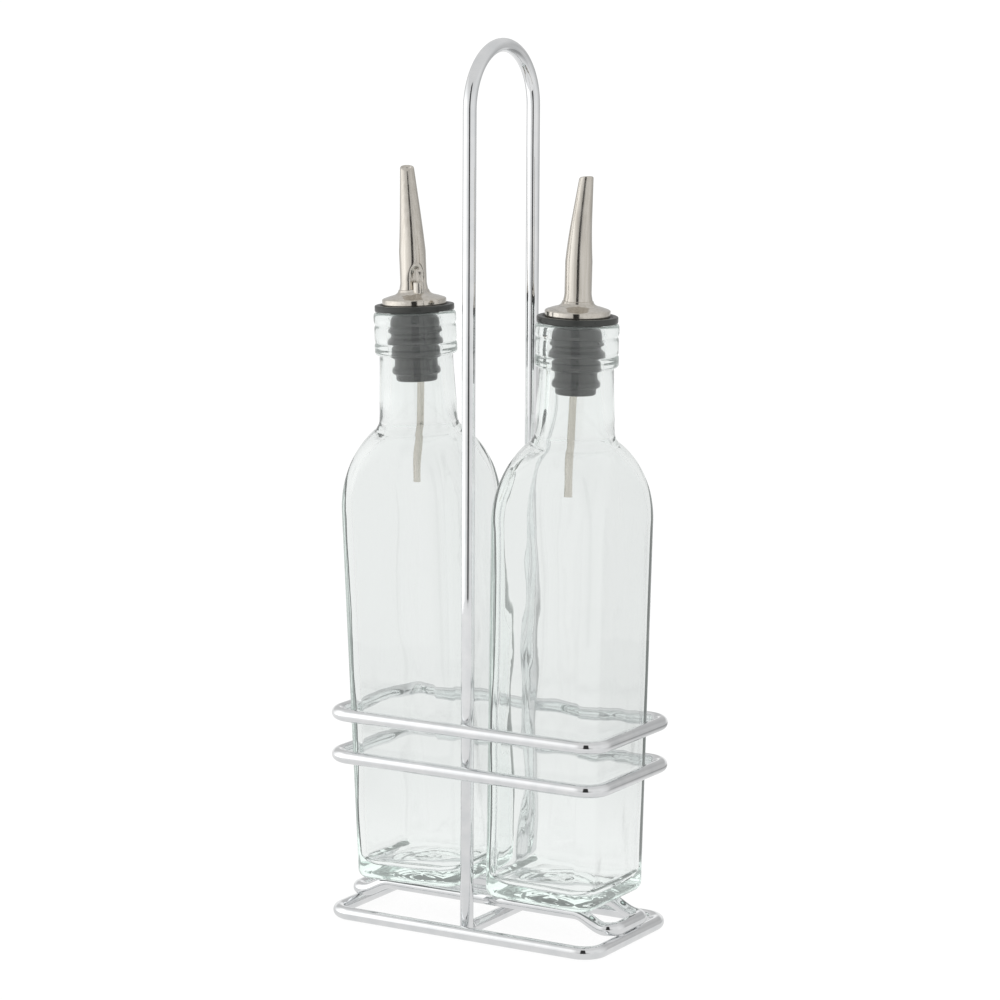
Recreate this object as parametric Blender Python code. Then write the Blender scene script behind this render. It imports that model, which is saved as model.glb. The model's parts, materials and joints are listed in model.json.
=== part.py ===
"""Cruet set: a wire caddy that carries two square glass bottles, each with a stoppered pour spout.

Metres, +Z up. The origin is on the table under the middle of the caddy, +X runs along the caddy's long
axis and -Y is its front. Each bottle leans outwards a little in its place in the caddy.
"""

from math import cos, pi, radians, sin, tan

import bmesh
import bpy

GAP = 0.0003  # clearance between neighbouring pieces

# Caddy: every wire has the same diameter, and sizes are taken to the wire's centreline.
WIRE_DIAMETER = 0.005
WIRE_RADIUS = WIRE_DIAMETER / 2
WIRE_SIDES = 12
WIRE_BEVEL = WIRE_RADIUS / cos(pi / WIRE_SIDES)  # the facets' flats lie at the wire's real radius
RING_HALF_LENGTH = 0.0569
BAND_HALF_LENGTH = 0.0574
RING_HALF_WIDTH = 0.0283
RING_CORNER_RADIUS = 0.0078
LOWER_BAND_HEIGHT = 0.0635
UPPER_BAND_HEIGHT = 0.0797
REST_HALF_WIDTH = 0.0119
REST_CORNER_RADIUS = 0.0048
REST_HEIGHT = 0.0123
REST_FLAT_HALF_LENGTH = 0.0405
REST_SLOPE_LENGTH = 0.0125
HANDLE_TOP = 0.334
CORNER_STEPS = 5
ARCH_STEPS = 14

# Bottle: heights are above its own base, half widths and radii are from its axis.
BOTTLE_HALF_WIDTH_LOW = 0.0229
BOTTLE_HALF_WIDTH_HIGH = 0.0235
BOTTLE_CORNER_RADIUS = 0.0056
HEEL_RADIUS = 0.0035
SHOULDER_START = 0.142
SHOULDER_TOP = 0.1722
SHOULDER_DOME_HEIGHT = 0.0356
NECK_RADIUS_LOW = 0.0147
NECK_RADIUS_HIGH = 0.0139
FINISH_BOTTOM = 0.1999
FINISH_TOP = 0.2158
FINISH_RADIUS = 0.0156
MOUTH_RADIUS = 0.0109
THROAT_RADIUS = 0.0097
WALL = 0.0024
FLOOR_HEIGHT = 0.0055
PUNT_DEPTH = 0.003
PUNT_RADIUS = 0.0155
POINTS_PER_CORNER = 6

# Stopper, spout, flange and vent tube, in heights above the bottle's base.
STOPPER_BOTTOM = 0.1897
STOPPER_COLLAR_RADIUS = 0.015
STOPPER_COLLAR_THICKNESS = 0.0024
STOPPER_SEAT_RADIUS = 0.0127
STOPPER_SEAT_DEPTH = 0.0008
TURNED_SIDES = 24
SHANK_RADIUS = 0.0050
SPOUT_WALL = 0.0008
SPOUT_TIP_RADIUS = 0.0026
SPOUT_TIP_HEIGHT = 0.2698
SPOUT_BEND_START = 0.2385
SPOUT_LEAN = radians(14)
SPOUT_SIDES = 16
FLANGE_RADIUS = 0.0121
FLANGE_RIM = 0.0026
VENT_RADIUS = 0.00135
VENT_WALL = 0.0005
VENT_NUB_RADIUS = 0.0021
VENT_NUB_OFFSET = 0.0064
VENT_NUB_TOP = 0.2272
VENT_BOTTOM = 0.1513

# Where each bottle stands, how far it leans outwards, and which way its vent has been turned.
BOTTLES = {
    "left": {"x": -0.0278, "lean": radians(-2.62), "vent_turn": radians(-50)},
    "right": {"x": 0.0287, "lean": radians(1.0), "vent_turn": radians(139)},
}

STOPPER_TOP = FINISH_TOP + GAP + STOPPER_COLLAR_THICKNESS
FLANGE_BOTTOM = STOPPER_TOP - STOPPER_SEAT_DEPTH + GAP


def material(name, colour, roughness, metallic=0.0, alpha=1.0):
    """A Principled material in the piece's own colour."""
    made = bpy.data.materials.new(name)
    made.use_nodes = True
    shader = made.node_tree.nodes["Principled BSDF"]
    shader.inputs["Base Color"].default_value = (*colour, 1.0)
    shader.inputs["Roughness"].default_value = roughness
    shader.inputs["Metallic"].default_value = metallic
    shader.inputs["Alpha"].default_value = alpha
    return made


def add_object(name, data, surface, parent=None):
    """Puts a mesh, a curve or nothing into the scene under its name."""
    made = bpy.data.objects.new(name, data)
    bpy.context.scene.collection.objects.link(made)
    made.parent = parent
    if surface is not None:
        data.materials.append(surface)
    return made


def shade_round(mesh, crease=radians(40)):
    """Smooth shading, with the real edges kept sharp."""
    mesh.shade_smooth()
    mesh.set_sharp_from_angle(angle=crease)


def tube_curve(name, points, radius, sides, closed=False, capped=True, widths=None):
    """A curve through the points with a round bevel; widths scales the radius from point to point."""
    curve = bpy.data.curves.new(name, "CURVE")
    curve.dimensions = "3D"
    curve.bevel_depth = radius
    curve.bevel_resolution = (sides - 4) // 2
    curve.use_fill_caps = capped and not closed
    spline = curve.splines.new("POLY")
    spline.points.add(len(points) - 1)
    for index, point in enumerate(points):
        spline.points[index].co = (*point, 1.0)
        spline.points[index].tilt = pi / sides
        if widths:
            spline.points[index].radius = widths[index]
    spline.use_cyclic_u = closed
    return curve


def bent_tube(name, path, radii, sides, wall, surface, parent):
    """A hollow tube along a path, open at both ends, with its radius given at each point."""
    widest = max(radii)
    curve = tube_curve(name + "_path", path, widest, sides, capped=False,
                       widths=[radius / widest for radius in radii])
    guide = bpy.data.objects.new(name + "_path", curve)
    mesh = bpy.data.meshes.new_from_object(guide)
    bpy.data.objects.remove(guide)
    shade_round(mesh)
    made = add_object(name, mesh, surface, parent)
    shell = made.modifiers.new("wall", "SOLIDIFY")
    shell.thickness = wall
    shell.offset = -1
    shell.use_even_offset = True
    return made


def rounded_rectangle(half_x, half_y, corner, steps=CORNER_STEPS):
    """Points round a rectangle with round corners, anticlockwise seen from above."""
    points = []
    for quarter, (side_x, side_y) in enumerate(((1, 1), (-1, 1), (-1, -1), (1, -1))):
        for step in range(steps + 1):
            angle = (quarter + step / steps) * pi / 2
            points.append((side_x * (half_x - corner) + corner * cos(angle),
                           side_y * (half_y - corner) + corner * sin(angle)))
    return points


def wire_ring(name, half_length, height, surface):
    """One of the three level rings of the caddy: the base ring or a band."""
    outline = rounded_rectangle(half_length, RING_HALF_WIDTH, RING_CORNER_RADIUS)
    path = [(x, y, height) for x, y in outline]
    return add_object(name, tube_curve(name, path, WIRE_BEVEL, WIRE_SIDES, closed=True), surface)


def rest_level(x):
    """Height of the bottle rest: level under the bottles, easing down to the base ring at each end."""
    end_height = WIRE_RADIUS + WIRE_DIAMETER + GAP
    share = min(max((abs(x) - REST_FLAT_HALF_LENGTH) / REST_SLOPE_LENGTH, 0), 1)
    ease = share * share * (3 - 2 * share)
    return REST_HEIGHT + (end_height - REST_HEIGHT) * ease


def bottle_rest(surface):
    """The narrow ring the bottles stand on, lying on the base ring's short sides."""
    steps = 4
    slope = [REST_FLAT_HALF_LENGTH + REST_SLOPE_LENGTH * step / steps for step in range(steps)]
    crossing = [*reversed(slope), *[-x for x in slope]]
    corners = rounded_rectangle(RING_HALF_LENGTH, REST_HALF_WIDTH, REST_CORNER_RADIUS)
    quarter = CORNER_STEPS + 1
    outline = corners[:quarter]
    outline += [(x, REST_HALF_WIDTH) for x in crossing]
    outline += corners[quarter:3 * quarter]
    outline += [(-x, -REST_HALF_WIDTH) for x in crossing]
    outline += corners[3 * quarter:]
    path = [(x, y, rest_level(x)) for x, y in outline]
    curve = tube_curve("bottle_rest", path, WIRE_BEVEL, WIRE_SIDES, closed=True)
    return add_object("bottle_rest", curve, surface)


def leg_offset():
    """The handle's legs stand just inside the bands and the base ring."""
    return RING_HALF_WIDTH - WIRE_DIAMETER - GAP


def handle_loop(surface):
    """The tall round-topped loop that carries the set, standing between the bottles."""
    half = leg_offset()
    arch_height = HANDLE_TOP - WIRE_RADIUS - half
    arch = [pi * step / ARCH_STEPS for step in range(ARCH_STEPS + 1)]
    path = [(0, half, 0)]
    path += [(0, half * cos(angle), arch_height + half * sin(angle)) for angle in arch]
    path += [(0, -half, 0)]
    return add_object("handle_loop", tube_curve("handle_loop", path, WIRE_BEVEL, WIRE_SIDES), surface)


def cross_bar(surface):
    """The short wire on the table that ties the handle's two feet together."""
    reach = leg_offset() - WIRE_RADIUS - GAP
    path = [(0, -reach, WIRE_RADIUS), (0, reach, WIRE_RADIUS)]
    return add_object("cross_bar", tube_curve("cross_bar", path, WIRE_BEVEL, WIRE_SIDES), surface)


def square_loop(height, half, corner):
    """One level of the bottle: a round-cornered square, or a circle if the corner is the half width."""
    loop = []
    for quarter, (side_x, side_y) in enumerate(((1, 1), (-1, 1), (-1, -1), (1, -1))):
        for step in range(POINTS_PER_CORNER):
            angle = (quarter + (step + 0.5) / POINTS_PER_CORNER) * pi / 2
            loop.append((side_x * (half - corner) + corner * cos(angle),
                         side_y * (half - corner) + corner * sin(angle), height))
    return loop


def heel_levels():
    """From the punt under the base, round the heel, to the body's straight side."""
    levels = [(PUNT_DEPTH, PUNT_RADIUS * 0.5, PUNT_RADIUS * 0.5)]
    levels += [(PUNT_DEPTH * 0.55, PUNT_RADIUS * 0.85, PUNT_RADIUS * 0.85)]
    levels += [(0, PUNT_RADIUS * 1.06, PUNT_RADIUS * 0.8)]
    for angle in (0, 40, 90):
        turn = radians(angle)
        height = HEEL_RADIUS * (1 - cos(turn))
        inset = HEEL_RADIUS * (1 - sin(turn))
        levels.append((height, BOTTLE_HALF_WIDTH_LOW - inset, BOTTLE_CORNER_RADIUS - inset * 0.4))
    return levels


def shoulder_levels(shrink=0.0):
    """The dome of the shoulder, turning from a square into a circle; shrink gives its inner surface."""
    end_turn = 57.7
    steps = 6
    squareness = 1 - BOTTLE_CORNER_RADIUS / BOTTLE_HALF_WIDTH_HIGH
    levels = []
    for step in range(steps + 1):
        turn = radians(end_turn * step / steps)
        share = (step / steps) ** 2
        square = squareness * (1 - share)
        across = BOTTLE_HALF_WIDTH_HIGH * (1 + 0.369 * squareness) * cos(turn) / (1 + 0.369 * square)
        half = across - shrink
        height = SHOULDER_START + SHOULDER_DOME_HEIGHT * sin(turn) - shrink * share
        levels.append((height, half, half * (1 - square)))
    return levels


def neck_levels():
    """Outside of the neck and of the collar round the mouth, up to the lip."""
    rings = [
        (0.1742, NECK_RADIUS_LOW + 0.0003),
        (0.1775, NECK_RADIUS_LOW),
        (FINISH_BOTTOM, NECK_RADIUS_HIGH),
        (FINISH_BOTTOM + 0.0001, FINISH_RADIUS - 0.0006),
        (FINISH_BOTTOM + 0.0008, FINISH_RADIUS),
        (FINISH_TOP - 0.0010, FINISH_RADIUS),
        (FINISH_TOP, FINISH_RADIUS - 0.0010),
    ]
    return [(height, radius, radius) for height, radius in rings]


def bore_levels():
    """Inside of the mouth and the neck, from the lip down to the shoulder."""
    rings = [
        (FINISH_TOP, MOUTH_RADIUS + 0.0006),
        (FINISH_TOP - 0.0008, MOUTH_RADIUS),
        (0.2035, MOUTH_RADIUS),
        (0.1975, THROAT_RADIUS),
        (0.1860, THROAT_RADIUS),
        (0.1760, 0.0118),
    ]
    return [(height, radius, radius) for height, radius in rings]


def cavity_levels():
    """Inside of the body, from the shoulder down to the floor."""
    levels = list(reversed(shoulder_levels(shrink=WALL)))
    low = BOTTLE_HALF_WIDTH_LOW - WALL
    corner = BOTTLE_CORNER_RADIUS - WALL * 0.5
    levels += [(FLOOR_HEIGHT + 0.003, low, corner)]
    levels += [(FLOOR_HEIGHT + 0.0008, low - 0.0008, corner)]
    levels += [(FLOOR_HEIGHT, low - 0.0032, corner)]
    levels += [(FLOOR_HEIGHT + PUNT_DEPTH * 0.6, low * 0.45, low * 0.45)]
    return levels


def bottle(name, surface, parent):
    """A square glass bottle: one wall from the punt, over the lip, and down to the inside of the floor."""
    levels = heel_levels() + shoulder_levels() + neck_levels() + bore_levels() + cavity_levels()
    shape = bmesh.new()
    loops = [[shape.verts.new(point) for point in square_loop(*level)] for level in levels]
    count = len(loops[0])
    for lower, upper in zip(loops, loops[1:]):
        for index in range(count):
            following = (index + 1) % count
            shape.faces.new((lower[index], lower[following], upper[following], upper[index]))
    shape.faces.new(reversed(loops[0]))
    shape.faces.new(loops[-1])
    bmesh.ops.triangulate(shape, faces=shape.faces, quad_method="SHORT_EDGE")
    mesh = bpy.data.meshes.new(name)
    shape.to_mesh(mesh)
    shape.free()
    shade_round(mesh)
    return add_object(name, mesh, surface, parent)


def turned(name, profile, surface, parent):
    """A turned ring: its closed profile runs down the outer side and back up the bore."""
    mesh = bpy.data.meshes.new(name)
    count = len(profile)
    edges = [(index, (index + 1) % count) for index in range(count)]
    mesh.from_pydata([(radius, 0, height) for radius, height in profile], edges, [])
    made = add_object(name, mesh, surface, parent)
    screw = made.modifiers.new("turn", "SCREW")
    screw.steps = TURNED_SIDES
    screw.render_steps = TURNED_SIDES
    screw.use_merge_vertices = True
    screw.merge_threshold = 0.00001
    screw.use_smooth_shade = True
    return made


def stopper(name, surface, parent):
    """The rubber stopper: a collar that sits on the bottle's lip and a ribbed plug."""
    bore = SHANK_RADIUS + GAP
    under_collar = FINISH_TOP + GAP
    seat = STOPPER_TOP - STOPPER_SEAT_DEPTH
    profile = [
        (bore, seat),
        (STOPPER_SEAT_RADIUS, seat),
        (STOPPER_SEAT_RADIUS + 0.0005, STOPPER_TOP),
        (STOPPER_COLLAR_RADIUS - 0.0005, STOPPER_TOP),
        (STOPPER_COLLAR_RADIUS, STOPPER_TOP - 0.0005),
        (STOPPER_COLLAR_RADIUS, under_collar + 0.0005),
        (STOPPER_COLLAR_RADIUS - 0.0005, under_collar),
        (0.0092, under_collar),
        (0.0092, 0.2102),
        (0.0103, 0.2096),
        (0.0103, 0.2084),
        (0.0091, 0.2076),
        (0.0091, 0.2064),
        (0.0104, 0.2056),
        (0.0104, 0.2040),
        (0.0089, 0.2031),
        (0.0089, 0.2021),
        (0.0093, 0.2015),
        (0.0093, 0.1992),
        (0.0081, 0.1983),
        (0.0081, 0.1954),
        (0.0091, 0.1944),
        (0.0091, 0.1929),
        (0.0077, 0.1920),
        (0.0077, STOPPER_BOTTOM + 0.0012),
        (0.0070, STOPPER_BOTTOM),
        (bore, STOPPER_BOTTOM),
    ]
    return turned(name, profile, surface, parent)


def vent_path():
    """Centreline of the vent tube, from its end in the bottle to the nub beside the spout."""
    in_shank = SHANK_RADIUS - SPOUT_WALL - VENT_RADIUS - GAP
    return [
        (in_shank - 0.0040, 0, VENT_BOTTOM),
        (in_shank - 0.0022, 0, 0.166),
        (in_shank - 0.0006, 0, 0.179),
        (in_shank, 0, 0.190),
        (in_shank, 0, 0.2125),
        (in_shank + 0.0003, 0, 0.2152),
        (in_shank + 0.0011, 0, 0.2179),
        (in_shank + 0.0025, 0, 0.2201),
        (VENT_NUB_OFFSET - 0.0004, 0, 0.2218),
        (VENT_NUB_OFFSET, 0, 0.2228),
        (VENT_NUB_OFFSET, 0, VENT_NUB_TOP),
    ]


def vent_tube(name, surface, parent):
    """The thin breather tube, which widens to a short nub where it comes out beside the spout."""
    path = vent_path()
    radii = [VENT_RADIUS] * (len(path) - 2) + [VENT_NUB_RADIUS] * 2
    return bent_tube(name, path, radii, 12, VENT_WALL, surface, parent)


def spout_path():
    """Centreline of the spout: straight through the stopper, then bent away from the vent."""
    bend_steps = 4
    bend_length = 0.014
    points = [(0, 0, STOPPER_BOTTOM + 0.0004), (0, 0, FLANGE_BOTTOM), (0, 0, SPOUT_BEND_START)]
    x, z = 0.0, SPOUT_BEND_START
    for step in range(bend_steps):
        angle = SPOUT_LEAN * (step + 0.5) / bend_steps
        x -= bend_length / bend_steps * sin(angle)
        z += bend_length / bend_steps * cos(angle)
        points.append((x, 0, z))
    rise = SPOUT_TIP_HEIGHT - z
    points.append((x - rise * tan(SPOUT_LEAN), 0, SPOUT_TIP_HEIGHT))
    return points


def spout_radii(path):
    """The spout keeps its width up to the bend, then tapers evenly to its tip."""
    top = path[-1][2]
    radii = []
    for _, _, height in path:
        share = min(max((height - SPOUT_BEND_START) / (top - SPOUT_BEND_START), 0), 1)
        radii.append(SHANK_RADIUS + (SPOUT_TIP_RADIUS - SHANK_RADIUS) * share)
    return radii


def cutter(name, mesh, location, parent):
    """A shape that only cuts its neighbours."""
    made = add_object(name, mesh, None, parent)
    made.location = location
    made.hide_render = True
    made.display_type = "WIRE"
    return made


def cylinder_mesh(name, radius, height, sides):
    """An upright cylinder centred on its origin."""
    shape = bmesh.new()
    bmesh.ops.create_cone(shape, cap_ends=True, segments=sides, radius1=radius, radius2=radius, depth=height)
    mesh = bpy.data.meshes.new(name)
    shape.to_mesh(mesh)
    shape.free()
    return mesh


def box_mesh(name, size_x, size_y, size_z):
    """A box centred on its origin."""
    shape = bmesh.new()
    bmesh.ops.create_cube(shape, size=1)
    bmesh.ops.scale(shape, vec=(size_x, size_y, size_z), verts=shape.verts)
    mesh = bpy.data.meshes.new(name)
    shape.to_mesh(mesh)
    shape.free()
    return mesh


def cut(piece, tool):
    """Takes the tool's shape out of the piece."""
    boolean = piece.modifiers.new("cut_" + tool.name, "BOOLEAN")
    boolean.operation = "DIFFERENCE"
    boolean.solver = "EXACT"
    boolean.object = tool


def spout(name, surface, parent):
    """The tapered pour tube, with a slot in its wall that lets the vent tube in beside the flange."""
    path = spout_path()
    made = bent_tube(name, path, spout_radii(path), SPOUT_SIDES, SPOUT_WALL, surface, parent)
    slot_bottom = 0.2115
    slot_top = VENT_NUB_TOP + GAP
    slot_width = 2 * (VENT_RADIUS + GAP) + 0.0004
    slot = box_mesh(name + "_slot", 0.004, slot_width, slot_top - slot_bottom)
    cut(made, cutter(name + "_slot", slot, (SHANK_RADIUS, 0, (slot_top + slot_bottom) / 2), parent))
    nub_bottom = 0.2211
    nub_top = slot_top + GAP
    hole = cylinder_mesh(name + "_nub_hole", VENT_NUB_RADIUS + GAP, nub_top - nub_bottom, 16)
    cut(made, cutter(name + "_nub_hole", hole, (VENT_NUB_OFFSET, 0, (nub_top + nub_bottom) / 2), parent))
    return made


def flange(name, surface, parent):
    """The stamped cap round the foot of the spout, with a raised step and a hole for the vent."""
    bore = SHANK_RADIUS + GAP
    rim_top = FLANGE_BOTTOM + FLANGE_RIM
    profile = [
        (bore, 0.2241),
        (0.0057, 0.2240),
        (0.0060, 0.2230),
        (0.0067, 0.2224),
        (FLANGE_RADIUS - 0.0006, rim_top + 0.0002),
        (FLANGE_RADIUS, rim_top - 0.0003),
        (FLANGE_RADIUS, FLANGE_BOTTOM),
        (bore, FLANGE_BOTTOM),
    ]
    made = turned(name, profile, surface, parent)
    height = 0.010
    hole = cylinder_mesh(name + "_vent_hole", VENT_NUB_RADIUS + GAP, height, 16)
    cut(made, cutter(name + "_vent_hole", hole, (VENT_NUB_OFFSET, 0, 0.2210), parent))
    return made


def bottle_height(place):
    """Height of the base's middle, so that the leaning base just clears the level part of the rest."""
    overhang = REST_FLAT_HALF_LENGTH - abs(place["x"])
    return REST_HEIGHT + WIRE_RADIUS + GAP + overhang * tan(abs(place["lean"]))


def stoppered_bottle(side, place, surfaces):
    """A bottle, its stopper and its pourer, all built upright and leant by one empty."""
    stand = add_object("stand_" + side, None, None)
    stand.location = (place["x"], 0, bottle_height(place))
    stand.rotation_euler = (0, place["lean"], 0)
    bottle("bottle_" + side, surfaces["glass"], stand)
    stopper("stopper_" + side, surfaces["rubber"], stand)
    turn = add_object("pourer_turn_" + side, None, None, stand)
    turn.rotation_euler = (0, 0, place["vent_turn"])
    spout("spout_" + side, surfaces["steel"], turn)
    flange("flange_" + side, surfaces["steel"], turn)
    vent_tube("vent_tube_" + side, surfaces["steel"], turn)


def build():
    """The whole cruet set."""
    for leftover in list(bpy.data.objects):
        bpy.data.objects.remove(leftover)
    surfaces = {
        "chrome": material("chrome", (0.80, 0.81, 0.82), 0.08, metallic=1.0),
        "glass": material("glass", (0.90, 0.95, 0.93), 0.02, alpha=0.35),
        "rubber": material("rubber", (0.07, 0.07, 0.068), 0.6),
        "steel": material("steel", (0.70, 0.67, 0.62), 0.18, metallic=1.0),
    }
    chrome = surfaces["chrome"]
    wire_ring("base_ring", RING_HALF_LENGTH, WIRE_RADIUS, chrome)
    wire_ring("lower_band", BAND_HALF_LENGTH, LOWER_BAND_HEIGHT, chrome)
    wire_ring("upper_band", BAND_HALF_LENGTH, UPPER_BAND_HEIGHT, chrome)
    bottle_rest(chrome)
    handle_loop(chrome)
    cross_bar(chrome)
    for side, place in BOTTLES.items():
        stoppered_bottle(side, place, surfaces)


build()
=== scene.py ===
"""Looks of the cruet set: smooth chromed wires, wavy square glass bottles, rubber stoppers and steel pourers.

Metres, +Z up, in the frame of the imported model. Heights called h are measured up a bottle's own axis
from its base.
"""

import json
from math import atan, atan2, cos, pi, radians, sin, sqrt, tan

import bmesh
import bpy
from mathutils import Matrix, Vector, noise


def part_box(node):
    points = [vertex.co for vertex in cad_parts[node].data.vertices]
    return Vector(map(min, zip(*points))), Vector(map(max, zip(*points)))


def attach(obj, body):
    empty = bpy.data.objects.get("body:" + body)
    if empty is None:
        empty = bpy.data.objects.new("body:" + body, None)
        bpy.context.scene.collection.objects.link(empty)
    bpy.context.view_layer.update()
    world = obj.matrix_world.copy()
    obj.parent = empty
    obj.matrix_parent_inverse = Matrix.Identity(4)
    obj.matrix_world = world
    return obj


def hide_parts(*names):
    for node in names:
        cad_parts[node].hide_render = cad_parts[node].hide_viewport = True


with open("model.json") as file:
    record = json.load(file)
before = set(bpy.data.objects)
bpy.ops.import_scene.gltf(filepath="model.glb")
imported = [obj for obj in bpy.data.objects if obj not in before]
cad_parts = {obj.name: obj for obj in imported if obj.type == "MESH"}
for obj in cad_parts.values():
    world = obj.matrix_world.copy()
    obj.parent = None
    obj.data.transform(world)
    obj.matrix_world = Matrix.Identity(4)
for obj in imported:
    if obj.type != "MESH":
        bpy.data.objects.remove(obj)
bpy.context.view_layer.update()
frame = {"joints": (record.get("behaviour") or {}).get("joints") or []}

# Caddy
WIRE = 0.0025  # radius of every wire
RING_CORNER = 0.0078
REST_CORNER = 0.0048
REST_FLAT = 0.0405  # half length of the rest's level middle
REST_SLOPE = 0.0125
REST_WELD_Y = 0.0066  # how far off the middle the rest is welded to the base ring's ends
FOOT_WELD_HEIGHT = 0.0026
HALF_GAP = 0.00015  # half of the gap between two welded wires

# Bottle
PUNT_DEPTH = 0.003
PUNT_RADIUS = 0.0155
HEEL_RADIUS = 0.0035
BODY_LOW = 0.0229
BODY_HIGH = 0.0235
BODY_CORNER = 0.0056
SHOULDER_START = 0.142
SHOULDER_HEIGHT = 0.0356
SHOULDER_TURN = radians(57.7)
FINISH_TOP = 0.2158
WALL = 0.0024
FLOOR_HEIGHT = 0.0055
FLOOR_FILLET = 0.0042  # inside, where the wall turns into the floor
WALL_SWING = 0.0007  # how far the inner surface wanders, in the body
NECK_SWING = 0.00018  # and in the neck
FLOOR_SWING = 0.0004
COLLAR_SWING = 0.00016  # how far the outside of the collar sinks in
SEED = {"left": 2.3, "right": 7.9}  # of each bottle's waves

# Stopper and pourer
STOPPER_TOP = 0.2185
FLANGE_BOTTOM = 0.2180
TWIST_HEIGHT = 0.2180  # where the record gives the pourer's joint, up the bottle's axis
SPOUT_RADIUS = 0.0050
SPOUT_TIP_RADIUS = 0.0026
SPOUT_TOP = 0.2697
SPOUT_WALL = 0.0008
VENT_RADIUS = 0.00135
CLEARANCE = 0.0003
VENT_TURN = {"left": radians(-50), "right": radians(139)}
NUB_SKEW = {"left": radians(9), "right": 0.0}  # how far round the nub is from opposite the spout's lean
VENT_BENDS = {"left": (0.0006, -0.0006), "right": (0.0, 0.0025)}  # sideways, at the stopper and the tip

# Studio
TENT_RADIUS = 0.54
TENT_HEIGHT = 0.80
FLOOR_LEVEL = -0.0002
FLOOR_NEAR, FLOOR_FAR = 0.12, 0.30  # where the tent's floor starts and ends turning from one grey to many
BRIGHT = 1.6  # the tent's brightest value; its ramps are shares of this
GAP_GREY = 0.025  # in the gap between two sheets of the tent
GAP_SOFTNESS = 0.8 / 360  # half width of the gap's soft edges, as a share of a turn
CAMERA_AZIMUTH = radians(30.48)
CAMERA_PLACE = Vector((0.6678, -1.1347, 0.3785))
CAMERA_AIM = Vector((0, 0, 0.1626))
CAMERA_ROLL = radians(0.30)
CAMERA_LENS = 128.53


# ---------------------------------------------------------------- pieces


def linked(name, data):
    """A new object in the scene."""
    made = bpy.data.objects.new(name, data)
    bpy.context.scene.collection.objects.link(made)
    return made


def piece(name, verts, faces, material, body, replaced=(), matrix=Matrix(), crease=50):
    """A smooth-shaded mesh in its place that rides on a CAD body and stands for CAD nodes."""
    mesh = bpy.data.meshes.new(name)
    mesh.from_pydata([tuple(matrix @ Vector(v)) for v in verts], [], faces)
    mesh.validate()
    shape = bmesh.new()
    shape.from_mesh(mesh)
    bmesh.ops.recalc_face_normals(shape, faces=shape.faces)
    shape.to_mesh(mesh)
    shape.free()
    mesh.shade_smooth()
    mesh.set_sharp_from_angle(angle=radians(crease))
    mesh.materials.append(material)
    made = linked(name, mesh)
    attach(made, body)
    if replaced:
        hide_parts(*replaced)


def skin(loops, joined=False):
    """Points and faces that join equal loops; fans close the ends unless the last joins the first."""
    count = len(loops[0])
    verts = [p for loop in loops for p in loop]
    pairs = [(i, i + 1) for i in range(len(loops) - 1)]
    if joined:
        pairs.append((len(loops) - 1, 0))
    faces = []
    for a, b in pairs:
        for i in range(count):
            j = (i + 1) % count
            faces.append((a * count + i, a * count + j, b * count + j, b * count + i))
    if not joined:
        for end in (0, len(loops) - 1):
            centre = sum((Vector(p) for p in loops[end]), Vector()) / count
            verts.append(centre)
            hub = len(verts) - 1
            for i in range(count):
                faces.append((hub, end * count + i, end * count + (i + 1) % count))
    return verts, faces


def sweep(path, radii, sides=24, joined=False):
    """Loops of points round a path, with a radius at each point and no twist."""
    points = [Vector(p) for p in path]
    count = len(points)
    tangents = []
    for i, p in enumerate(points):
        before = points[i - 1] if i or joined else p
        after = points[(i + 1) % count] if i < count - 1 or joined else p
        tangents.append((after - before).normalized())
    side = tangents[0].orthogonal().normalized()
    loops = []
    for i, p in enumerate(points):
        side = (side - tangents[i] * side.dot(tangents[i])).normalized()
        other = tangents[i].cross(side)
        radius = radii[i] if isinstance(radii, (list, tuple)) else radii
        loops.append([p + (side * cos(a) + other * sin(a)) * radius
                      for a in (2 * pi * k / sides for k in range(sides))])
    return loops


def turned(profile, sides=96):
    """Loops round Z for a closed profile of (radius, height)."""
    return [[Vector((r * cos(a), r * sin(a), z)) for a in (2 * pi * k / sides for k in range(sides))]
            for r, z in profile]


def ease(share):
    """0 to 1 with a flat start and end."""
    share = min(max(share, 0.0), 1.0)
    return share * share * (3 - 2 * share)


def rounded(profile, radius_by_corner, steps=5):
    """A closed (radius, height) profile with some of its corners rounded by small arcs."""
    out = []
    count = len(profile)
    for i, corner in enumerate(profile):
        r = radius_by_corner.get(i, 0)
        here = Vector(corner)
        if not r:
            out.append(tuple(here))
            continue
        back = Vector(profile[i - 1]) - here
        ahead = Vector(profile[(i + 1) % count]) - here
        reach = min(r, back.length * 0.48, ahead.length * 0.48)
        start = here + back.normalized() * reach
        end = here + ahead.normalized() * reach
        for k in range(steps + 1):
            t = k / steps
            out.append(tuple(start * (1 - t) ** 2 + here * 2 * t * (1 - t) + end * t ** 2))
    return out


# ---------------------------------------------------------------- materials


def node(tree, kind, **inputs):
    """A shader node with some of its inputs set or linked."""
    made = tree.nodes.new(kind)
    for key, value in inputs.items():
        socket = made.inputs[int(key[1:])] if key[0] == "_" else made.inputs[key.replace("_", " ")]
        if isinstance(value, bpy.types.NodeSocket):
            tree.links.new(value, socket)
        else:
            socket.default_value = value
    return made


def new_material(name):
    """A material with its Principled shader, ready for more nodes."""
    made = bpy.data.materials.new(name)
    made.use_nodes = True
    tree = made.node_tree
    return made, tree, tree.nodes["Principled BSDF"]


def spread(tree, value, low, high, out_low, out_high):
    """Maps a value's range to another range."""
    made = node(tree, "ShaderNodeMapRange", Value=value)
    for key, number in zip(("From Min", "From Max", "To Min", "To Max"), (low, high, out_low, out_high)):
        made.inputs[key].default_value = number
    return made.outputs["Result"]


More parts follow.
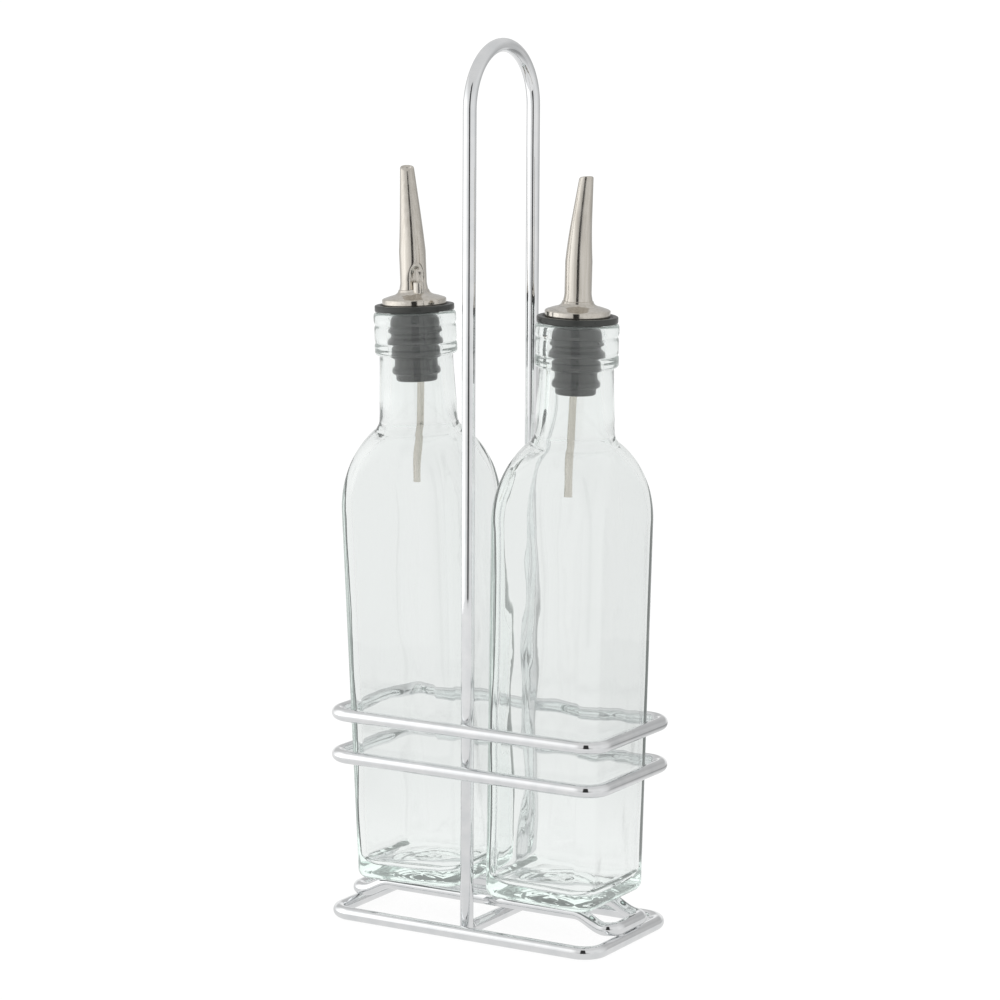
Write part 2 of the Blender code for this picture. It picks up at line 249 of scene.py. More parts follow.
def grain(tree, scale, detail, stretch=(1, 1, 1)):
    """Noise in the piece's own coordinates, stretched along its axes."""
    place = node(tree, "ShaderNodeTexCoord").outputs["Object"]
    mapped = node(tree, "ShaderNodeMapping", Vector=place)
    mapped.inputs["Scale"].default_value = stretch
    made = node(tree, "ShaderNodeTexNoise", Vector=mapped.outputs["Vector"], Scale=scale, Detail=detail)
    return made.outputs["Fac"]


def bumped(tree, shader, height, strength, distance):
    """Small relief on the surface."""
    made = node(tree, "ShaderNodeBump", Height=height, Strength=strength, Distance=distance)
    tree.links.new(made.outputs["Normal"], shader.inputs["Normal"])


def two_tone(tree, fac, dark, light, low=0.3, high=0.7):
    """A colour between two tones, by a factor."""
    made = node(tree, "ShaderNodeValToRGB", Fac=fac)
    first, last = made.color_ramp.elements
    first.position = low
    first.color = (*dark, 1)
    last.position = high
    last.color = (*light, 1)
    return made.outputs["Color"]


def chrome_material():
    """Bright plating on drawn wire: almost a mirror, a little cloudy in places, faintly uneven."""
    made, tree, shader = new_material("chrome plating")
    cloud = grain(tree, 160, 3)
    tree.links.new(two_tone(tree, cloud, (0.76, 0.775, 0.785), (0.84, 0.845, 0.85)),
                   shader.inputs["Base Color"])
    shader.inputs["Metallic"].default_value = 1
    tree.links.new(spread(tree, grain(tree, 700, 4), 0.35, 0.7, 0.03, 0.09), shader.inputs["Roughness"])
    bumped(tree, shader, grain(tree, 230, 2), 0.10, 0.0002)
    return made


def weld_material():
    """Plating over a weld: the same metal, rougher and greyer."""
    made, tree, shader = new_material("plated weld")
    spot = grain(tree, 900, 5)
    tree.links.new(two_tone(tree, spot, (0.52, 0.53, 0.54), (0.80, 0.81, 0.82)), shader.inputs["Base Color"])
    shader.inputs["Metallic"].default_value = 1
    tree.links.new(spread(tree, spot, 0.3, 0.7, 0.10, 0.26), shader.inputs["Roughness"])
    bumped(tree, shader, grain(tree, 1400, 3), 0.35, 0.0002)
    return made


def steel_material(name, stretch, roughness):
    """Polished stainless steel, slightly warm, with the fine lines that forming left along the piece."""
    made, tree, shader = new_material(name)
    lines = grain(tree, 900, 4, stretch)
    tree.links.new(two_tone(tree, lines, (0.56, 0.525, 0.47), (0.68, 0.645, 0.59)),
                   shader.inputs["Base Color"])
    shader.inputs["Metallic"].default_value = 1
    tree.links.new(spread(tree, lines, 0.3, 0.75, roughness * 0.75, roughness * 1.35),
                   shader.inputs["Roughness"])
    bumped(tree, shader, lines, 0.05, 0.0002)
    return made


def rubber_material():
    """Matt dark grey moulded rubber with a faint bloom."""
    made, tree, shader = new_material("grey rubber")
    bloom = grain(tree, 260, 5)
    tree.links.new(two_tone(tree, bloom, (0.025, 0.027, 0.025), (0.036, 0.038, 0.035)),
                   shader.inputs["Base Color"])
    tree.links.new(spread(tree, bloom, 0.3, 0.7, 0.26, 0.38), shader.inputs["Roughness"])
    shader.inputs["Specular IOR Level"].default_value = 0.45
    bumped(tree, shader, grain(tree, 2600, 3), 0.12, 0.0002)
    return made


def glass_material():
    """Clear glass with soft pressed ripples; long ways through it are faintly green, and a painted glow
    inside the glass lightens them.
    """
    made, tree, shader = new_material("bottle glass")
    shader.inputs["Base Color"].default_value = (0.975, 0.985, 0.981, 1)
    shader.inputs["Transmission Weight"].default_value = 1
    shader.inputs["IOR"].default_value = 1.51
    tree.links.new(spread(tree, grain(tree, 300, 2), 0.3, 0.7, 0.0, 0.012), shader.inputs["Roughness"])
    bumped(tree, shader, grain(tree, 75, 2, (1, 1, 0.45)), 0.10, 0.0012)
    tint = node(tree, "ShaderNodeVolumeAbsorption", Color=(0.74, 0.89, 0.83, 1), Density=12.0)
    # Painted glow: the glass's volume gives off light of its own, which brightens long paths through it such
    # as the base and thick edges.
    painted_glow = node(tree, "ShaderNodeEmission", Color=(0.95, 1.0, 0.98, 1), Strength=5.7)
    body = node(tree, "ShaderNodeAddShader", _0=tint.outputs["Volume"], _1=painted_glow.outputs["Emission"])
    tree.links.new(body.outputs["Shader"], tree.nodes["Material Output"].inputs["Volume"])
    return made


# ---------------------------------------------------------------- caddy


def rounded_rectangle(half_x, half_y, corner, steps=14):
    """Points round a rectangle with round corners, anticlockwise seen from above."""
    points = []
    for quarter, (side_x, side_y) in enumerate(((1, 1), (-1, 1), (-1, -1), (1, -1))):
        for step in range(steps + 1):
            angle = (quarter + step / steps) * pi / 2
            points.append((side_x * (half_x - corner) + corner * cos(angle),
                           side_y * (half_y - corner) + corner * sin(angle)))
    return points


def smooth_ring(name, node_name, chrome):
    """A closed wire ring where its CAD node is."""
    low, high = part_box(node_name)
    half_x = (high.x - low.x) / 2 - WIRE
    half_y = (high.y - low.y) / 2 - WIRE
    height = (low.z + high.z) / 2
    path = [(x, y, height) for x, y in rounded_rectangle(half_x, half_y, RING_CORNER)]
    verts, faces = skin(sweep(path, WIRE, joined=True), joined=True)
    piece(name, verts, faces, chrome, "caddy", (node_name,))


def smooth_rest(chrome):
    """The bottle rest, level in the middle and easing down to the base ring at both ends."""
    low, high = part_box("bottle_rest")
    half_x, half_y = high.x - WIRE, high.y - WIRE
    top, bottom = high.z - WIRE, low.z + WIRE
    corners = rounded_rectangle(half_x, half_y, REST_CORNER)
    quarter = len(corners) // 4
    xs = [REST_FLAT + REST_SLOPE * k / 12 for k in range(12)]
    crossing = [*reversed(xs), 0.02, 0.0, -0.02, *[-x for x in xs]]
    outline = corners[:quarter] + [(x, half_y) for x in crossing] + corners[quarter:3 * quarter]
    outline += [(-x, -half_y) for x in crossing] + corners[3 * quarter:]
    path = [(x, y, top + (bottom - top) * ease((abs(x) - REST_FLAT) / REST_SLOPE)) for x, y in outline]
    verts, faces = skin(sweep(path, WIRE, joined=True), joined=True)
    piece("bottle_rest_wire", verts, faces, chrome, "caddy", ("bottle_rest",))


def smooth_handle(chrome):
    """The tall loop, with slightly rounded cut ends on the table."""
    low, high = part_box("handle_loop")
    half = high.y - WIRE
    arch_height = high.z - WIRE - half
    steps = 48
    foot = [(0.0, 0.0006), (0.0003, 0.0002), (0.0008, 0.0)]  # height, and how much thinner the wire is
    leg = [(0, half, low.z + rise) for rise, _ in foot] + [(0, half, 0.15)]
    arch = [(0, half * cos(a), arch_height + half * sin(a))
            for a in (pi * k / steps for k in range(steps + 1))]
    path = leg + arch + [(x, -y, z) for x, y, z in reversed(leg)]
    end = [WIRE - thinner for _, thinner in foot]
    verts, faces = skin(sweep(path, end + [WIRE] * (len(path) - 2 * len(end)) + end[::-1]))
    piece("handle_wire", verts, faces, chrome, "caddy", ("handle_loop",))


def smooth_bar(chrome):
    """The wire between the handle's feet."""
    low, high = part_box("cross_bar")
    z = (low.z + high.z) / 2
    ends = [(0.0, 0.0007), (0.0004, 0.0002), (0.001, 0.0)]  # distance from the end, and how much thinner
    path = [(0, low.y + inset, z) for inset, _ in ends] + [(0, 0, z)]
    path += [(0, high.y - inset, z) for inset, _ in reversed(ends)]
    end = [WIRE - thinner for _, thinner in ends]
    verts, faces = skin(sweep(path, end + [WIRE] + end[::-1]))
    piece("cross_bar_wire", verts, faces, chrome, "caddy", ("cross_bar",))


def weld_bead(name, place, size, seed, material):
    """A small irregular bead of weld metal."""
    rings, sides = 12, 20
    loops = []
    for i in range(1, rings):
        polar = pi * i / rings
        loop = []
        for k in range(sides):
            a = 2 * pi * k / sides
            d = Vector((sin(polar) * cos(a), sin(polar) * sin(a), cos(polar)))
            swell = 1 + 0.13 * noise.noise(d * 1.9 + Vector((seed, seed * 0.7, 3.1)))
            loop.append(Vector(place) + Vector((d.x * size[0], d.y * size[1], d.z * size[2])) * swell)
        loops.append(loop)
    verts, faces = skin(loops)
    piece(name, verts, faces, material, "caddy", crease=80)


def weld_beads(material):
    """Beads where the handle's legs meet the rings, at the feet, and where the rest lies on the base ring."""
    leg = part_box("handle_loop")[1].y - WIRE
    contact = leg + WIRE + HALF_GAP
    seed = 0
    for label, node_name in (("base", "base_ring"), ("lower", "lower_band"), ("upper", "upper_band")):
        low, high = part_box(node_name)
        for face, sign in (("back", 1), ("front", -1)):
            seed += 1
            weld_bead(f"weld_{label}_{face}", (0, sign * contact, (low.z + high.z) / 2),
                      (0.0019, 0.0009, 0.0017), seed, material)
    bar_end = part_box("cross_bar")[1].y
    for face, sign in (("back", 1), ("front", -1)):
        seed += 1
        weld_bead(f"weld_foot_{face}", (0, sign * (bar_end + 0.0001), FOOT_WELD_HEIGHT),
                  (0.0021, 0.0011, 0.0021), seed, material)
    rest_low, rest_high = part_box("bottle_rest")
    for end, sign_x in (("left", -1), ("right", 1)):
        for face, sign_y in (("back", 1), ("front", -1)):
            seed += 1
            weld_bead(f"weld_rest_{end}_{face}",
                      (sign_x * (rest_high.x - WIRE), sign_y * REST_WELD_Y, rest_low.z - HALF_GAP),
                      (0.0015, 0.0022, 0.0008), seed, material)


# ---------------------------------------------------------------- bottles


def square_angles():
    """Angles round a rounded square, closer together at its corners."""
    angles = []
    edge = atan((BODY_HIGH - BODY_CORNER) / BODY_HIGH)
    for quarter in range(4):
        middle = quarter * pi / 2
        for k in range(12):
            angles.append(middle + edge * (k / 6 - 1))
        for k in range(16):
            angles.append(middle + edge + (pi / 2 - 2 * edge) * k / 16)
    return angles


ANGLES = square_angles()


def square_radius(angle, half, corner):
    """Distance from the axis to a round-cornered square in a direction."""
    a = abs((angle + pi / 4) % (pi / 2) - pi / 4)
    centre = half - corner
    if half * tan(a) <= centre:
        return half / cos(a)
    b = centre * (cos(a) + sin(a))
    return b + sqrt(max(b * b - 2 * centre * centre + corner * corner, 0))


def outer_levels():
    """Outside of the bottle from the middle of the punt to the lip: height, half width, corner radius."""
    levels = []
    for k in range(9):
        r = 0.0012 + (PUNT_RADIUS - 0.0012) * k / 8
        levels.append((PUNT_DEPTH * (1 - (r / PUNT_RADIUS) ** 2.4) + 0.00035, r, r))
    levels.append((0.00008, 0.0160, 0.0150))
    levels.append((0.0, 0.0168, 0.0135))
    for k in range(9):
        turn = pi / 2 * k / 8
        inset = HEEL_RADIUS * (1 - sin(turn))
        levels.append((HEEL_RADIUS * (1 - cos(turn)), BODY_LOW - inset, BODY_CORNER - inset * 0.4))
    for k in range(1, 24):
        share = k / 24
        h = HEEL_RADIUS + (SHOULDER_START - HEEL_RADIUS) * share
        levels.append((h, BODY_LOW + (BODY_HIGH - BODY_LOW) * share, BODY_CORNER))
    levels += shoulder_levels(0.0)
    neck = [(0.1736, 0.01516), (0.1750, 0.01486), (0.1775, 0.01468), (0.1830, 0.01455), (0.1890, 0.01425),
            (0.1945, 0.0140), (0.1985, 0.0139), (0.1996, 0.01392)]
    collar = [(0.1999, 0.01405), (0.19995, 0.0148), (0.2001, 0.01528), (0.2005, 0.01552), (0.2010, 0.0156),
              (0.2030, 0.0156), (0.2036, 0.01553), (0.2041, 0.01534), (0.2044, 0.01512), (0.2047, 0.01530),
              (0.2053, 0.01544), (0.2064, 0.01548), (0.2095, 0.01548), (0.2103, 0.01538), (0.2107, 0.01522),
              (0.2110, 0.01505), (0.2113, 0.01522), (0.2118, 0.01546), (0.2125, 0.0156), (0.2140, 0.0156),
              (0.2149, 0.01550), (0.2154, 0.01528), (0.21572, 0.01490), (FINISH_TOP, 0.0144)]
    levels += [(h, r, r) for h, r in neck + collar]
    return levels


def shoulder_levels(shrink, steps=22):
    """The dome of the shoulder, turning from a square into a circle."""
    squareness = 1 - BODY_CORNER / BODY_HIGH
    levels = []
    for k in range(steps + 1):
        share = k / steps
        turn = SHOULDER_TURN * share
        square = squareness * (1 - share ** 2)
        across = BODY_HIGH * (1 + 0.369 * squareness) * cos(turn) / (1 + 0.369 * square)
        half = across - shrink
        height = SHOULDER_START + SHOULDER_HEIGHT * sin(turn) - shrink * share ** 2
        levels.append((height, half, half * (1 - square)))
    return levels


def inner_levels():
    """Inside of the bottle from the lip to the middle of the floor."""
    mouth = [(0.21575, 0.0125), (0.2154, 0.01165), (0.2148, 0.01120), (0.2138, 0.01095), (0.2115, 0.0109),
             (0.2060, 0.01085), (0.2035, 0.01080), (0.2010, 0.0104), (0.1985, 0.00985), (0.1965, 0.0097),
             (0.1920, 0.0097), (0.1870, 0.00985), (0.1830, 0.0102), (0.1795, 0.0110), (0.1760, 0.0119),
             (0.1730, 0.0128)]
    levels = [(h, r, r) for h, r in mouth]
    levels += list(reversed(shoulder_levels(WALL)))
    low, corner = BODY_LOW - WALL, BODY_CORNER - WALL * 0.4
    top_half = BODY_HIGH - WALL
    steps = 44
    for k in range(1, steps):
        share = k / steps
        h = SHOULDER_START + (FLOOR_HEIGHT + FLOOR_FILLET - SHOULDER_START) * share
        levels.append((h, top_half + (low - top_half) * share, corner + 0.0008 * (1 - share)))
    for k in range(9):
        turn = pi / 2 * k / 8
        inset = FLOOR_FILLET * (1 - cos(turn))
        levels.append((FLOOR_HEIGHT + FLOOR_FILLET * (1 - sin(turn)), low - inset, corner + inset * 0.5))
    for k in range(1, 8):
        r = (low - FLOOR_FILLET) * (1 - k / 8.4)
        levels.append((FLOOR_HEIGHT + PUNT_DEPTH * 0.55 * ease(k / 8), r, r * (0.3 + 0.7 * ease(k / 4))))
    return levels


def wave(angle, h, seed):
    """The glass's unevenness at a place, from -1 to 1, longer up the bottle than round it."""
    spot = Vector((cos(angle) * 1.5 + seed, sin(angle) * 1.5, h * 26))
    fine = Vector((cos(angle) * 3.4, sin(angle) * 3.4 + seed, h * 60))
    return 0.75 * noise.noise(spot) + 0.25 * noise.noise(fine)


def bottle_piece(side, matrix, glass, seed):
    """One skin from the punt, round the lip and down to the inside of the floor."""
    loops = []
    for h, half, corner in outer_levels():
        swing = COLLAR_SWING * ease((h - 0.1985) / 0.002) * ease((FINISH_TOP - h) / 0.001)
        loop = []
        for a in ANGLES:
            r = square_radius(a, half, corner) - swing * abs(wave(a, h * 3, seed))
            loop.append(Vector((cos(a), sin(a), 0)) * r + Vector((0, 0, h)))
        loops.append(loop)
    for h, half, corner in inner_levels():
        swing = WALL_SWING * ease((0.178 - h) / 0.02) * ease((h - 0.004) / 0.012)
        swing += NECK_SWING * ease((0.214 - h) / 0.003)
        lift = FLOOR_SWING * ease((0.010 - h) / 0.004)
        loop = []
        for a in ANGLES:
            r = square_radius(a, half, corner) - swing * wave(a, h, seed)
            loop.append(Vector((r * cos(a), r * sin(a), h + lift * wave(a, r * 3, seed + 5))))
        loops.append(loop)
    verts, faces = skin(loops)
    piece(f"bottle_{side}_glass", verts, faces, glass, f"bottle_{side}", (f"bottle_{side}",),
          matrix, crease=80)


# ---------------------------------------------------------------- stoppers and pourers


def stopper_piece(side, matrix, rubber):
    """The moulded stopper with its collar and soft-edged ribs."""
    bore = 0.0053
    seat, under = 0.2177, 0.2161
    profile = [(bore, seat), (0.0127, seat), (0.0131, STOPPER_TOP), (0.0150, STOPPER_TOP), (0.0150, under),
               (0.0092, under), (0.0092, 0.2102), (0.0103, 0.2097), (0.0103, 0.2083), (0.0091, 0.2076),
               (0.0091, 0.2064), (0.0104, 0.2057), (0.0104, 0.2039), (0.0089, 0.2031), (0.0089, 0.2021),
               (0.0093, 0.2015), (0.0093, 0.1992), (0.0081, 0.1983), (0.0081, 0.1954), (0.0091, 0.1944),
               (0.0091, 0.1929), (0.0077, 0.1920), (0.0077, 0.1897), (bore, 0.1897)]
    soft = {i: 0.0006 for i in range(5, len(profile) - 1)}
    soft |= {1: 0.0003, 2: 0.0004, 3: 0.0006, 4: 0.0006, len(profile) - 2: 0.0012}
    verts, faces = skin(turned(rounded(profile, soft)), joined=True)
    piece(f"stopper_{side}_rubber", verts, faces, rubber, f"stopper_{side}",
          (f"stopper_{side}",), matrix)


def flange_piece(side, matrix, steel):
    """The stamped cap: an upright rim, a shallow cone, a step up to the tube and a boss at the nub."""
    profile = [(0.0053, 0.2241), (0.0057, 0.2240), (0.0060, 0.2231), (0.0066, 0.2225), (0.0074, 0.2221),
               (0.0095, 0.22155), (0.0116, 0.22085), (0.0121, 0.2205), (0.0121, FLANGE_BOTTOM),
               (0.0053, FLANGE_BOTTOM)]
    soft = {0: 0.0002, 1: 0.0004, 2: 0.0005, 3: 0.0006, 4: 0.0008, 6: 0.0003, 7: 0.0002, 8: 0.0002}
    boss_x, boss_radius, boss_rise, boss_top = 0.0066, 0.0042, 0.0016, 0.2243
    loops = turned(rounded(profile, soft))
    for loop in loops:
        for p in loop:
            boss = ease(1 - Vector((p.x - boss_x, p.y)).length / boss_radius) * ease((p.z - 0.2190) / 0.0008)
            p.z += min(boss_rise * boss, max(boss_top - p.z, 0))
    verts, faces = skin(loops, joined=True)
    piece(f"flange_{side}_steel", verts, faces, steel, f"pourer_{side}", (f"flange_{side}",),
          matrix)


def spout_centre(h):
    """How far the spout's centreline has leant away from the vent at a height, and its slope there."""
    start, span, lean = 0.2365, 0.018, tan(radians(14))
    if h <= start:
        return 0.0, 0.0
    along = min(h - start, span)
    offset = lean * along * along / (2 * span)
    slope = lean * along / span
    if h > start + span:
        offset += lean * (h - start - span)
    return -offset, -slope


def spout_piece(side, matrix, steel, skew):
    """The thin-walled pour tube, dented over the nub: straight, then leaning and tapering to its tip."""
    sides = 64
    taper_start = 0.2385
    dent_top, dent_depth, dent_half_turn = 0.2345, 0.0014, 0.95

    def loop(h, inset):
        offset, slope = spout_centre(h)
        share = max((h - taper_start) / (SPOUT_TOP - taper_start), 0)
        radius = SPOUT_RADIUS + (SPOUT_TIP_RADIUS - SPOUT_RADIUS) * share
        flare = 0.0004 * ease((0.2268 - h) / 0.003) * ease((h - 0.2222) / 0.001)
        tilt = atan(slope)
        points = []
        for k in range(sides):
            a = 2 * pi * k / sides
            near = (a - skew + pi) % (2 * pi) - pi
            width = dent_half_turn * sqrt(min(max((dent_top - h) / 0.0065, 0.0), 1.0)) + 0.0001
            dent = ease(1.25 * (1 - abs(near) / width))
            dent = dent * ease((dent_top - h) / 0.004) * ease((h - 0.2212) / 0.0008)
            r = radius + flare - inset - dent_depth * dent
            x, y = r * cos(a), r * sin(a)
            points.append(Vector((offset + x * cos(tilt), y, h + x * sin(tilt))))
        return points

    heights = [0.1901, 0.205, 0.2185] + [0.2205 + 0.0004 * k for k in range(37)]
    heights += [0.2355 + 0.0015 * k for k in range(23)]
    heights = [h for h in heights if h < SPOUT_TOP - 0.0008]
    lip = [(0.0006, 0), (0.0002, 0.00008), (0, 0.0003), (0, 0.0005), (0.0003, 0.0007)]  # depth and inset
    loops = [loop(h, 0) for h in heights] + [loop(SPOUT_TOP - depth, inset) for depth, inset in lip]
    loops += [loop(h, SPOUT_WALL) for h in reversed(heights)]
    verts, faces = skin(loops, joined=True)
    piece(f"spout_{side}_steel", verts, faces, steel, f"pourer_{side}", (f"spout_{side}",), matrix)


def vent_piece(side, matrix, steel, root, tip):
    """The breather tube from inside the bottle to its nub; root and tip are its sideways bends."""
    centre = SPOUT_RADIUS - SPOUT_WALL - VENT_RADIUS - CLEARANCE
    path = [(centre - 0.0040, 0.1513), (centre - 0.0031, 0.159), (centre - 0.0022, 0.166),
            (centre - 0.0012, 0.173), (centre - 0.0006, 0.179), (centre - 0.0001, 0.186), (centre, 0.190),
            (centre, 0.2125), (centre + 0.0003, 0.2152), (centre + 0.0011, 0.2179),
            (centre + 0.0025, 0.2199), (0.0060, 0.2215), (0.0064, 0.2223), (0.0064, 0.2232),
            (0.0064, 0.2266), (0.0064, 0.2270), (0.0064, 0.2272)]
    outer = [VENT_RADIUS] * 12 + [0.00175, 0.0021, 0.0021, 0.00202, 0.00175]
    inner = [0.00085] * 12 + [0.00095, 0.0012, 0.0012, 0.0012, 0.0013]
    points = [(x, root * ease((0.2125 - h) / 0.012) + (tip - root) * max(0.190 - h, 0) / 0.0387, h)
              for x, h in path]
    shell = sweep(points, outer, sides=32)
    hole = sweep(points, inner, sides=32)
    verts, faces = skin(shell + hole[::-1], joined=True)
    piece(f"vent_tube_{side}_steel", verts, faces, steel, f"pourer_{side}", (f"vent_tube_{side}",),
          matrix)


def bottle_matrix(side):
    """Where a bottle's own frame lies, from its pourer's joint in the record."""
    joint = next(j for j in frame["joints"] if j["name"] == f"turn_pourer_{side}")
    axis = Vector(joint["axis"]).normalized()
    base = Vector(joint["pos_m"]) - axis * TWIST_HEIGHT
    return Matrix.Translation(base) @ Matrix.Rotation(atan2(axis.x, axis.z), 4, "Y")


def make_bottles():
    """Both bottles with their stoppers and pourers."""
    glass = glass_material()
    rubber = rubber_material()
    tube_steel = steel_material("drawn steel tube", (1, 1, 0.06), 0.17)
    cap_steel = steel_material("stamped steel cap", (1, 1, 1), 0.10)
    for side in ("left", "right"):
        matrix = bottle_matrix(side)
        turn = matrix @ Matrix.Rotation(VENT_TURN[side], 4, "Z")
        at_nub = turn @ Matrix.Rotation(NUB_SKEW[side], 4, "Z")
        bottle_piece(side, matrix, glass, SEED[side])
        stopper_piece(side, matrix, rubber)
        flange_piece(side, at_nub, cap_steel)
        spout_piece(side, turn, tube_steel, NUB_SKEW[side])
        vent_piece(side, at_nub, tube_steel, *VENT_BENDS[side])


def make_caddy():
    """All the wires and their welds."""
    chrome = chrome_material()
    smooth_ring("base_ring_wire", "base_ring", chrome)
    smooth_ring("lower_band_wire", "lower_band", chrome)
    smooth_ring("upper_band_wire", "upper_band", chrome)
    smooth_rest(chrome)
    smooth_handle(chrome)
    smooth_bar(chrome)
    weld_beads(weld_material())


# ---------------------------------------------------------------- studio


def ramp(tree, fac, stops):
    """A ramp of greys from (position, value) pairs."""
    made = node(tree, "ShaderNodeValToRGB", Fac=fac)
    elements = made.color_ramp.elements
    while len(elements) > 1:
        elements.remove(elements[-1])
    elements[0].position = stops[0][0]
    elements[0].color = (stops[0][1],) * 3 + (1,)
    for position, value in stops[1:]:
        added = elements.new(position)
        added.color = (value,) * 3 + (1,)
    return made.outputs["Color"]


def even(tree, fac, value):
    """One grey, whatever the factor."""
    return ramp(tree, fac, [(0, value), (1, value)])


def math_node(tree, operation, first, second=0.0):
    """One step of arithmetic between two values."""
    made = node(tree, "ShaderNodeMath", _0=first, _1=second)
    made.operation = operation
    return made.outputs["Value"]


def mixed(tree, fac, first, second):
    """One colour turning into another by a factor."""
    made = node(tree, "ShaderNodeMix")
    made.data_type = "RGBA"
    for socket, value in zip((made.inputs[0], made.inputs[6], made.inputs[7]), (fac, first, second)):
        tree.links.new(value, socket)
    return made.outputs[2]


def around_stops(stops):
    """Ramp stops for an azimuth in degrees, 0 towards the camera and + to its right."""
    return [((azimuth + 180) / 360, value / BRIGHT) for azimuth, value in stops]


def glow_material(name, colour_from):
    """A material that only glows, with its colour made by a function of its node tree."""
    made = bpy.data.materials.new(name)
    made.use_nodes = True
    tree = made.node_tree
    tree.nodes.clear()
    glow = node(tree, "ShaderNodeEmission", Color=colour_from(tree), Strength=BRIGHT)
    out = tree.nodes.new("ShaderNodeOutputMaterial")
    tree.links.new(glow.outputs["Emission"], out.inputs["Surface"])
    return made


def studio_piece(name, verts, faces, material):
    """A part of the studio; neither the camera nor soft light meets it."""
    mesh = bpy.data.meshes.new(name)
    mesh.from_pydata([tuple(v) for v in verts], [], faces)
    mesh.shade_smooth()
    mesh.materials.append(material)
    made = linked(name, mesh)
    made.rotation_euler = (0, 0, CAMERA_AZIMUTH)
    made.visible_camera = False
    made.visible_diffuse = False
    made.visible_shadow = False
    made.visible_volume_scatter = False
    return made


def polar_place(tree):
    """Where a point of the studio is: its azimuth as a share of a turn, its reach and its height."""
    place = node(tree, "ShaderNodeSeparateXYZ", Vector=node(tree, "ShaderNodeTexCoord").outputs["Object"])
    x, y = place.outputs["X"], place.outputs["Y"]
    azimuth = spread(tree, math_node(tree, "ARCTAN2", x, math_node(tree, "MULTIPLY", y, -1.0)), -pi, pi, 0, 1)
    squares = math_node(tree, "ADD", math_node(tree, "MULTIPLY", x, x), math_node(tree, "MULTIPLY", y, y))
    return azimuth, math_node(tree, "POWER", squares, 0.5), place.outputs["Z"]


def tent(name, low, high, overhead, gap=None):
    """A tall dome of bright sheets: greys by azimuth near the floor and higher up, one grey overhead.

    The gap between two azimuths is nearly black.
    """

    def colour(tree):
        azimuth, out, up = polar_place(tree)
        rise = spread(tree, math_node(tree, "ARCTAN2", up, out), 0, pi / 2, 0, 1)
        walls = mixed(tree, ramp(tree, rise, [(0, 0), (0.15, 0), (0.24, 1), (1, 1)]),
                      ramp(tree, azimuth, around_stops(low)), ramp(tree, azimuth, around_stops(high)))
        whole = mixed(tree, ramp(tree, rise, [(0, 0), (0.42, 0), (0.62, 1), (1, 1)]), walls,
                      even(tree, rise, overhead / BRIGHT))
        if not gap:
            return whole
        start, end = ((edge + 180) / 360 for edge in gap)
        across = ramp(tree, azimuth, [(start - GAP_SOFTNESS, 0), (start + GAP_SOFTNESS, 1),
                                      (end - GAP_SOFTNESS, 1), (end + GAP_SOFTNESS, 0)])
        upwards = ramp(tree, rise, [(0, 1), (0.62, 1), (0.66, 0), (1, 0)])
        inside = math_node(tree, "MULTIPLY", across, upwards)
        return mixed(tree, inside, whole, even(tree, rise, GAP_GREY))

    # From a little below the floor, so that no gap shows between the two, up to the pole.
    slopes = [radians(3.75 * k) for k in range(-1, 24)]
    profile = [(TENT_RADIUS * cos(a), TENT_HEIGHT * sin(a)) for a in slopes] + [(0.0005, TENT_HEIGHT)]
    return studio_piece(name, *skin(turned(profile)), glow_material(name, colour))


def tent_floor(name, near, far):
    """The tent's own floor: one grey under the set that turns into greys by azimuth further out."""

    def colour(tree):
        azimuth, out, _ = polar_place(tree)
        share = spread(tree, out, FLOOR_NEAR, FLOOR_FAR, 0, 1)
        return mixed(tree, share, even(tree, share, near / BRIGHT), ramp(tree, azimuth, around_stops(far)))

    rim = turned([(TENT_RADIUS * 1.01, 0)])[0]
    made = studio_piece(name, rim, [tuple(range(len(rim)))], glow_material(name, colour))
    made.location.z = FLOOR_LEVEL
    return made


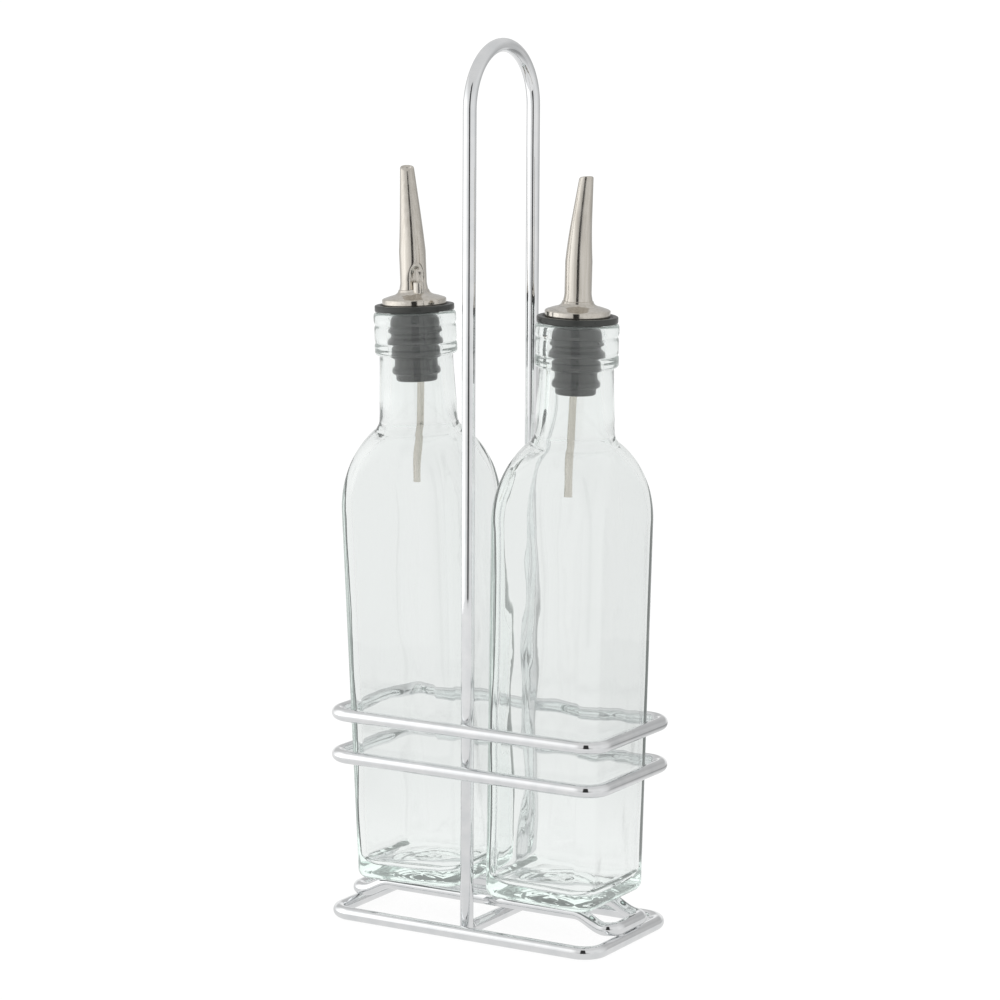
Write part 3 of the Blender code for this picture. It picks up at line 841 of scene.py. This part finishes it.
def light_tent():
    """What polished metal and glass surfaces mirror, and what is seen through the glass."""
    low = [(-180, 0.98), (-150, 0.95), (-138, 0.80), (-124, 1.05), (-106, 1.55), (-76, 1.55), (-60, 1.1),
           (-41, 0.90), (-24, 0.69), (-14, 0.60), (9, 0.50), (28, 0.86), (45, 0.80), (64, 0.90), (86, 0.80),
           (108, 0.55), (125, 0.58), (150, 0.90), (180, 0.98)]
    high = [(-180, 0.60), (-135, 0.65), (-106, 1.4), (-76, 1.5), (-60, 1.25), (-45, 1.1), (-30, 0.8),
            (28, 0.86), (64, 0.88), (95, 0.75), (130, 0.5), (180, 0.60)]
    mirrored = tent("tent for reflections", low, high, 0.74, gap=(-13, 8))
    mirrored.visible_transmission = False
    low = [(-180, 0.815), (-112, 0.815), (-85, 0.95), (-60, 0.95), (0, 0.85), (60, 0.95), (85, 0.95),
           (112, 0.815), (180, 0.815)]
    high = [(-180, 0.84), (-60, 0.92), (0, 0.85), (60, 0.85), (180, 0.84)]
    through = tent("tent behind the glass", low, high, 0.75)
    through.visible_glossy = False
    far = [(-180, 0.85), (-60, 0.92), (60, 0.85), (90, 0.60), (110, 0.36), (135, 0.36), (160, 0.70),
           (180, 0.85)]
    mirrored = tent_floor("floor for reflections", 0.80, far)
    mirrored.visible_transmission = False
    through = tent_floor("floor behind the glass", 0.90, [(-180, 0.815), (180, 0.815)])
    through.visible_glossy = False


def pale_floor():
    """A plain white table that fills the view and glows, so that shadows on it stay faint."""
    shape = bmesh.new()
    bmesh.ops.create_grid(shape, x_segments=1, y_segments=1, size=30)
    mesh = bpy.data.meshes.new("floor")
    shape.to_mesh(mesh)
    shape.free()
    made = linked("floor", mesh)
    made.location.z = FLOOR_LEVEL
    made.visible_glossy = False
    made.visible_transmission = False
    material, tree, shader = new_material("white table")
    shader.inputs["Base Color"].default_value = (0.10, 0.10, 0.10, 1)
    shader.inputs["Roughness"].default_value = 0.9
    shader.inputs["Specular IOR Level"].default_value = 0.0
    shader.inputs["Emission Color"].default_value = (1, 1, 1, 1)
    shader.inputs["Emission Strength"].default_value = 0.93
    mesh.materials.append(material)


def soft_world():
    """Even white light from all round, which neither reflections nor the view through glass meet."""
    world = bpy.data.worlds.new("studio")
    world.use_nodes = True
    background = world.node_tree.nodes["Background"]
    background.inputs["Color"].default_value = (1, 1, 1, 1)
    background.inputs["Strength"].default_value = 1.16
    world.cycles_visibility.glossy = False
    world.cycles_visibility.transmission = False
    bpy.context.scene.world = world


def long_lens_camera():
    """The camera, a little above the set and in front of its right end."""
    data = bpy.data.cameras.new("camera")
    data.sensor_width = 36
    data.lens = CAMERA_LENS
    made = linked("camera", data)
    look = (CAMERA_AIM - CAMERA_PLACE).to_track_quat("-Z", "Y")
    made.rotation_mode = "QUATERNION"
    made.location = CAMERA_PLACE
    made.rotation_quaternion = look @ Matrix.Rotation(CAMERA_ROLL, 4, "Z").to_quaternion()
    bpy.context.scene.camera = made


make_caddy()
make_bottles()
light_tent()
pale_floor()
soft_world()
long_lens_camera()
bpy.context.scene.view_settings.view_transform = "Standard"

bpy.context.view_layer.update()
